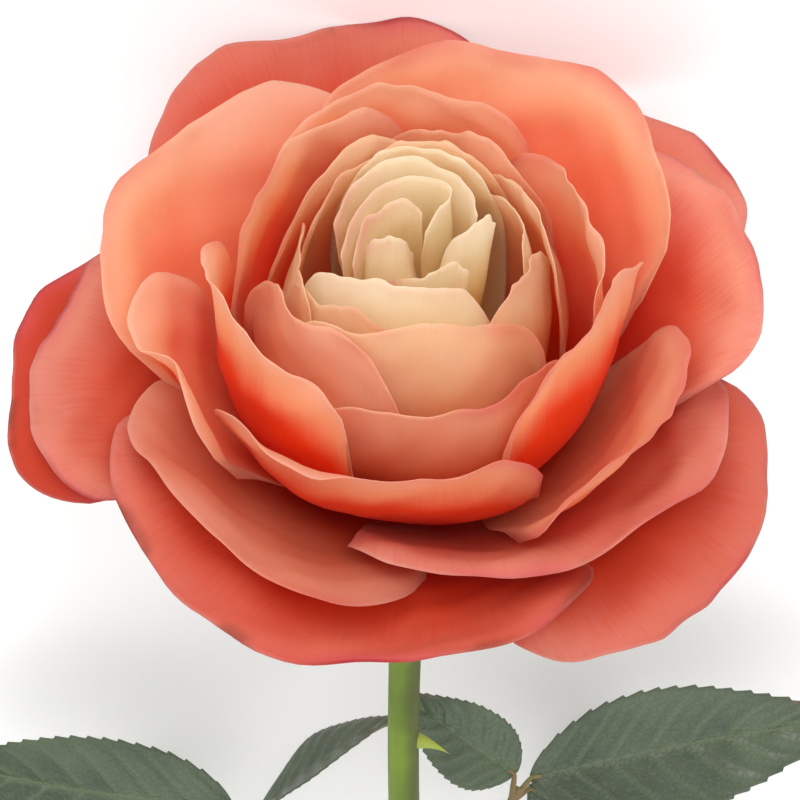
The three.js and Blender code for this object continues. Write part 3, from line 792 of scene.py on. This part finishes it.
def group_tree(name, inputs):
    """A Geometry Nodes tree with named inputs: (name, kind, value)."""
    tree = bpy.data.node_groups.new(name, "GeometryNodeTree")
    tree.interface.new_socket("Geometry", in_out="INPUT", socket_type="NodeSocketGeometry")
    tree.interface.new_socket("Geometry", in_out="OUTPUT", socket_type="NodeSocketGeometry")
    for title, kind, value in inputs:
        socket = tree.interface.new_socket(title, in_out="INPUT", socket_type=kind)
        if value is not None:
            socket.default_value = value
    return tree


def add(tree, kind, settings=None, inputs=None):
    """A node of a Geometry Nodes tree, with its settings and the values or links of its sockets."""
    made = tree.nodes.new(kind)
    for key, value in (settings or {}).items():
        setattr(made, key, value)
    for key, value in (inputs or {}).items():
        if hasattr(value, "is_linked"):
            tree.links.new(value, made.inputs[key])
        else:
            made.inputs[key].default_value = value
    return made


def times(tree, a, b):
    return add(tree, "ShaderNodeMath", {"operation": "MULTIPLY"}, {0: a, 1: b}).outputs[0]


def carried(tree, kind, name):
    """A value that the points of the geometry carry."""
    return add(tree, "GeometryNodeInputNamedAttribute", {"data_type": kind}, {"Name": name}).outputs[0]


def end_with(tree, geometry, material):
    """The end of every tree: instances made real, the material set."""
    real = add(tree, "GeometryNodeRealizeInstances", {}, {"Geometry": geometry}).outputs[0]
    done = add(tree, "GeometryNodeSetMaterial", {}, {"Geometry": real, "Material": material}).outputs[0]
    add(tree, "NodeGroupOutput", {}, {"Geometry": done})
    return tree


def rod_tree():
    """A round rod along each curve it is given, tapering from Radius to End radius, swollen at its start."""
    tree = group_tree("rod", [
        ("Radius", "NodeSocketFloat", 0.001), ("End radius", "NodeSocketFloat", 0.001),
        ("Swell", "NodeSocketFloat", 0.2), ("Sides", "NodeSocketInt", 20), ("Step", "NodeSocketFloat", 0.001),
        ("Material", "NodeSocketMaterial", None),
    ])
    given = add(tree, "NodeGroupInput").outputs
    path = add(tree, "GeometryNodeResampleCurve", {"mode": "LENGTH"}, {
        "Curve": given["Geometry"], "Length": given["Step"]})
    place = add(tree, "GeometryNodeSplineParameter").outputs["Factor"]
    taper = add(tree, "ShaderNodeMapRange", {}, {
        "Value": place, "To Min": given["Radius"], "To Max": given["End radius"]})
    near = add(tree, "ShaderNodeMapRange", {"interpolation_type": "SMOOTHSTEP"}, {
        "Value": place, "From Min": 0.0, "From Max": 0.12, "To Min": 1.0, "To Max": 0.0}).outputs[0]
    extra = add(tree, "ShaderNodeMath", {"operation": "MULTIPLY_ADD"}, {
        0: near, 1: given["Swell"], 2: 1.0}).outputs[0]
    full = times(tree, taper.outputs[0], extra)
    radius = times(tree, full, add(tree, "GeometryNodeInputRadius").outputs[0])
    ring = add(tree, "GeometryNodeCurvePrimitiveCircle", {}, {
        "Resolution": given["Sides"], "Radius": 1.0}).outputs[0]
    rod = add(tree, "GeometryNodeCurveToMesh", {}, {
        "Curve": path.outputs[0], "Profile Curve": ring, "Scale": radius, "Fill Caps": True}).outputs[0]
    return end_with(tree, rod, given["Material"])


def grow(name, base_data, tree, values):
    """Runs a tree on an object, and returns its result as a plain mesh object of that name."""
    source = bpy.data.objects.new(name + "_source", base_data)
    bpy.context.collection.objects.link(source)
    modifier = source.modifiers.new("grow", "NODES")
    modifier.node_group = tree
    names = {item.name: item.identifier for item in tree.interface.items_tree if item.in_out == "INPUT"}
    for key, value in values.items():
        modifier[names[key]] = value
    graph = bpy.context.evaluated_depsgraph_get()
    mesh = bpy.data.meshes.new_from_object(source.evaluated_get(graph), depsgraph=graph)
    source.modifiers.remove(modifier)
    bpy.data.objects.remove(source)
    mesh.polygons.foreach_set("use_smooth", np.ones(len(mesh.polygons), bool))
    piece = bpy.data.objects.new(name, mesh)
    bpy.context.collection.objects.link(piece)
    return piece


TWIG_SHARE = 0.55


def path_data(name, points, twigs=()):
    """Poly curves through smooth lines over points in metres: the path, and thinner twigs beside it."""
    data = bpy.data.curves.new(name, "CURVE")
    data.dimensions = "3D"
    for place in (points, *twigs):
        line = spline(place, np.linspace(0, 1, 12 * len(place)))
        run = data.splines.new("POLY")
        run.points.add(len(line) - 1)
        for point, at in zip(run.points, line):
            point.co = (*at, 1)
            point.radius = 1 if place is points else TWIG_SHARE
    return data


def heel(start):
    """Where a leaf stalk leaves the skin of the stem, a little below its first point."""
    axis = lay_back((0, 0, start[1] / math.cos(REST_TILT)))
    return tuple(0.4 * np.array(start) + 0.6 * axis + (0, -2, 0))


def twig(path, leaflet):
    """The short stalk of one leaflet, from the leaf stalk into the foot of its blade."""
    line = spline(path, np.linspace(0, 1, 60))
    base = np.array(leaflet["base"], float)
    near = int(np.argmin(np.linalg.norm(line - base, axis=1)))
    first = line[max(near - 4, 0)]
    last = base + 1.6 * unit(np.array(leaflet["tip"], float) - base)
    return [first, 0.5 * (first + base), base, last]


rods = rod_tree()
for leaf, (path, leaflets) in LEAVES.items():
    twigs = [on_table(twig(path, leaflet)) for leaflet in leaflets]
    piece = grow("rod_" + leaf, path_data(leaf, on_table([heel(path[0]), *path]), twigs), rods, {
        "Radius": 1.05 * MM, "End radius": 0.6 * MM, "Swell": 0.35, "Sides": 18, "Step": 0.6 * MM,
        "Material": stalk_green})
    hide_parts(leaf + "_stalk")
    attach(piece, "root")

STEM_PATH = [
    (0, 0, HIP_BOTTOM - 0.3), (-1.2, 0, -32), (-1.6, 0, -66), (-0.6, -0.6, -110), (0.8, 0.4, -160),
    (-0.4, 0.3, -215), (0.6, -0.3, -270), (0, 0, -STEM_LENGTH),
]
stem = grow("cane", path_data("cane", bloom_to_world(STEM_PATH)), rods, {
    "Radius": STEM_RADIUS * MM, "End radius": STEM_RADIUS * 1.12 * MM, "Swell": 0.1, "Sides": 40,
    "Step": 0.8 * MM, "Material": stem_green})
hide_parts("stem")
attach(stem, "root")


# ---------------------------------------------------------------- prickles by Geometry Nodes

PRICKLE_SINK = 0.7
USUAL_PRICKLE = 6

# How far down the stem each prickle stands, its azimuth and its length.
PRICKLES = [
    (58, 352, 6), (104, 160, 6.5), (142, 20, 7), (171, 250, 6), (214, 130, 7), (246, 330, 6.5), (283, 60, 6),
]


def prickle_tree():
    """A hooked, flattened cone on every point, its root on the skin and its tip turned down the stem."""
    tree = group_tree("prickles", [
        ("Length", "NodeSocketFloat", 0.006), ("Root", "NodeSocketFloat", 0.0019),
        ("Hook", "NodeSocketFloat", 0.0026), ("Material", "NodeSocketMaterial", None),
    ])
    given = add(tree, "NodeGroupInput").outputs
    mid = times(tree, given["Length"], 0.5)
    drop = times(tree, given["Hook"], -1.0)
    middle = add(tree, "ShaderNodeCombineXYZ", {}, {"Z": mid}).outputs[0]
    tip = add(tree, "ShaderNodeCombineXYZ", {}, {"X": drop, "Z": given["Length"]}).outputs[0]
    line = add(tree, "GeometryNodeCurveQuadraticBezier", {}, {
        "Resolution": 14, "Start": (0.0, 0.0, 0.0), "Middle": middle, "End": tip}).outputs[0]
    place = add(tree, "GeometryNodeSplineParameter").outputs["Factor"]
    rest = add(tree, "ShaderNodeMath", {"operation": "SUBTRACT"}, {0: 1.02, 1: place}).outputs[0]
    thin = add(tree, "ShaderNodeMath", {"operation": "POWER"}, {0: rest, 1: 1.5}).outputs[0]
    radius = times(tree, thin, given["Root"])
    ring = add(tree, "GeometryNodeCurvePrimitiveCircle", {}, {"Resolution": 14, "Radius": 1.0}).outputs[0]
    flatter = add(tree, "GeometryNodeTransform", {}, {"Geometry": ring, "Scale": (0.55, 1.0, 1.0)}).outputs[0]
    cone = add(tree, "GeometryNodeCurveToMesh", {}, {
        "Curve": line, "Profile Curve": flatter, "Scale": radius, "Fill Caps": True}).outputs[0]
    out = carried(tree, "FLOAT_VECTOR", "outward")
    up = carried(tree, "FLOAT_VECTOR", "upward")
    size = carried(tree, "FLOAT", "size")
    stand = add(tree, "FunctionNodeAlignRotationToVector", {"axis": "Z"}, {"Vector": out}).outputs[0]
    turn = add(tree, "FunctionNodeAlignRotationToVector", {"axis": "X", "pivot_axis": "Z"}, {
        "Rotation": stand, "Vector": up}).outputs[0]
    many = add(tree, "GeometryNodeInstanceOnPoints", {}, {
        "Points": given["Geometry"], "Instance": cone, "Rotation": turn, "Scale": size}).outputs[0]
    return end_with(tree, many, given["Material"])


def dots(name, points, vectors, numbers):
    """A mesh of loose points with vector and number attributes."""
    mesh = bpy.data.meshes.new(name)
    mesh.from_pydata([tuple(p) for p in points], [], [])
    for key, values in vectors.items():
        layer = mesh.attributes.new(key, "FLOAT_VECTOR", "POINT")
        layer.data.foreach_set("vector", np.asarray(values, np.float32).ravel())
    for key, values in numbers.items():
        layer = mesh.attributes.new(key, "FLOAT", "POINT")
        layer.data.foreach_set("value", np.asarray(values, np.float32).ravel())
    return mesh


origin = bloom_to_world([(0, 0, 0)])[0]
stem_line = spline(STEM_PATH, np.linspace(0, 1, 800))
roots, outs, ups, sizes = [], [], [], []
for down, azimuth, long in PRICKLES:
    root = stem_line[int(np.argmin(np.abs(stem_line[:, 2] + down)))]
    out = np.array([math.cos(math.radians(azimuth)), math.sin(math.radians(azimuth)), 0])
    roots.append(bloom_to_world([root + out * (STEM_RADIUS - PRICKLE_SINK)])[0])
    outs.append(bloom_to_world([out])[0] - origin)
    ups.append(bloom_to_world([(0, 0, 1)])[0] - origin)
    sizes.append(long / USUAL_PRICKLE)
prickle_green = green_finish(
    "prickle_green", (0.34, 0.42, 0.05), (0.24, 0.31, 0.03), (0.30, 0.10, 0.05), (0.1, 0.1, -0.9),
    (0.2, 0.1, 0.05), 0.4,
)
root_dots = dots("prickle_roots", roots, {"outward": outs, "upward": ups}, {"size": sizes})
spikes = grow("prickles", root_dots, prickle_tree(), {
    "Length": 5.6 * MM, "Root": 1.9 * MM, "Hook": 2.4 * MM, "Material": prickle_green})
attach(spikes, "root")


# ---------------------------------------------------------------- hip and sepals

def hip_piece():
    """The hip and receptacle: the turned profile with five faint ribs."""
    ring = 64
    profile = spline(HIP_PROFILE[1:-1], np.linspace(0, 1, 60))
    turns = np.arange(ring) * 2 * HALF_TURN / ring
    ribs = 1 + 0.012 * np.sin(5 * turns)[None, :]
    points = np.stack([profile[:, :1] * ribs * np.cos(turns), profile[:, :1] * ribs * np.sin(turns),
                       profile[:, 1:2] + 0 * ribs], -1).reshape(-1, 3)
    points = np.concatenate([points, [[0, 0, HIP_PROFILE[0][1]], [0, 0, HIP_PROFILE[-1][1]]]])
    rows = len(profile)
    faces = []
    for i in range(ring):
        n = (i + 1) % ring
        faces += [(k * ring + i, k * ring + n, (k + 1) * ring + n, (k + 1) * ring + i) for k in range(rows - 1)]
        faces += [(rows * ring, n, i), (rows * ring + 1, (rows - 1) * ring + i, (rows - 1) * ring + n)]
    return piece_from("urn_hip", bloom_to_world(points), faces, {}, calyx_green)


hip = hip_piece()
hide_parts("hip")
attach(hip, "root")

CALYX_REACH = 8.9
CALYX_DROP = 2.2
LONGEST_SEPAL = 34
SEPAL_THICKNESS = 0.35
SEPALS = [(214, 30), (292, 22), (0, 34), (72, 34), (146, 34)]


def sepal_sheet(azimuth, long, seed, columns, rows):
    """A pointed, lobed sepal that bends down from the calyx."""
    u = np.linspace(-1, 1, columns)[None, :]
    v = np.linspace(0, 1, rows)[:, None]
    reach = CALYX_REACH + long * 0.86 * v
    height = -CALYX_DROP - long / LONGEST_SEPAL * (7 * np.sin(HALF_TURN * v * 0.62) + 3 * v * v)
    lobes = 1 + 0.3 * np.maximum(np.sin(34 * v + 2.0), 0) ** 3 * smooth(v * 5) * smooth((1 - v) * 4)
    width = (0.35 + 3.3 * np.sin(HALF_TURN * np.minimum(v + 0.18, 1)) ** 1.1 * (1 - 0.35 * v)) * lobes
    across = u * width + 0.5 * waves(seed, 4 * v) * v
    out = np.array([math.cos(azimuth), math.sin(azimuth), 0])
    side = np.array([-math.sin(azimuth), math.cos(azimuth), 0])
    points = reach[..., None] * out + across[..., None] * side
    points = points + np.zeros((rows, columns, 3))
    points[..., 2] = height - 0.05 * across**2 + 0.25 * np.exp(-((across / 0.5) ** 2))
    return points


for k, (azimuth, long) in enumerate(SEPALS):
    node = f"sepal_{k + 1}"
    sheet = sepal_sheet(math.radians(azimuth), long, 500 + k, 21, 81)
    thickness = np.full(sheet.shape[:2], SEPAL_THICKNESS)
    layers = {"rim": edge_distance(sheet)}
    piece = shell("blade_" + node, sheet, thickness, calyx_green, bloom_to_world, layers)
    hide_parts(node)
    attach(piece, "root")


# ---------------------------------------------------------------- floor

def floor_piece():
    """The pale table the rose lies on."""
    s = Shader("pale_floor")
    cloud = s.noise(s.place(), 3.0, 2.0)
    skin = s.mix(cloud, (0.93, 0.93, 0.93), (0.95, 0.95, 0.95))
    body = s.node("ShaderNodeBsdfPrincipled", {}, {
        "Base Color": skin, "Roughness": 0.9, "Specular IOR Level": 0.1})
    corners = [(-3, -3, 0), (3, -3, 0), (3, 3, 0), (-3, 3, 0)]
    return piece_from("floor", corners, [(0, 1, 2, 3)], {}, s.finish(body))


floor_piece()
